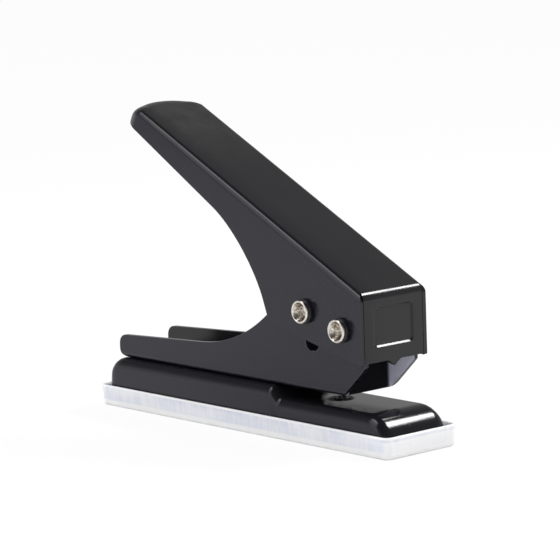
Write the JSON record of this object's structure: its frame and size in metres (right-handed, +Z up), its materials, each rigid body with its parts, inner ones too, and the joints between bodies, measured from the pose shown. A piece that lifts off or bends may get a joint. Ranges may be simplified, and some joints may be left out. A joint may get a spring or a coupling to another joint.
{
  "type": "single hole punch",
  "caption": "Hand-pressed single hole punch for the desk: folded steel frame and lever handle on a pressed base, sprung punch and die, pull-off chip tray.",
  "frame": {"origin": "on the table, under the middle of the chip tray", "axes": "+X to the front, where the paper goes in; +Y to the left of the object seen from behind it; +Z up; the punch's axis is at x = 29.1 mm"},
  "size_m": [0.1216, 0.0286, 0.0881],
  "materials": {
    "black_enamel": "black stoved enamel, semi-gloss",
    "clear_plastic": "clear plastic, faintly blue",
    "rivet_steel": "black enamel over steel",
    "tool_steel": "turned and hardened",
    "plated_steel": "bright plated",
    "spring_steel": "drawn wire, oiled",
    "black_ring": "black moulded plastic"
  },
  "bodies": {
    "base_frame": {"base": "black_enamel", "frame": "black_enamel", "rear_rivet": "rivet_steel", "front_rivet": "rivet_steel", "die_ring": "tool_steel", "guide_bush": "tool_steel", "spring_seat_washer": "plated_steel", "return_spring": "spring_steel", "pivot_spacer": "plated_steel"},
    "lever": {"handle": "black_enamel", "pivot_pin": "plated_steel", "pivot_ring_near": "black_ring", "pivot_ring_far": "black_ring", "pivot_washer_near": "plated_steel", "pivot_washer_far": "plated_steel", "drive_pin": "plated_steel", "drive_ring_near": "black_ring", "drive_ring_far": "black_ring", "drive_washer_near": "plated_steel", "drive_washer_far": "plated_steel"},
    "punch_unit": {"punch": "tool_steel", "punch_head": "tool_steel", "punch_lock_pin": "tool_steel"},
    "tray": {"chip_tray": "clear_plastic"}
  },
  "joints": [
    {"name": "handle_press", "type": "hinge", "parent": "base_frame", "child": "lever", "pos_m": [0.04325, 0, 0.03276], "axis": [0, -1, 0], "range_deg": [0, 24], "stiffness_Nm_per_rad": 0.22, "springref_deg": -22.35},
    {"name": "punch_slide", "type": "slide", "parent": "base_frame", "child": "punch_unit", "axis": [0, 0, -1], "range_m": [0, 0.0061], "deforming": ["return_spring"]},
    {"name": "tray_pull", "type": "slide", "parent": "base_frame", "child": "tray", "axis": [0, 0, -1], "range_m": [0, 0.012]}
  ],
  "couplings": [
    {"joint": "punch_slide", "follows": "handle_press", "m_per_rad": 0.014504}
  ]
}
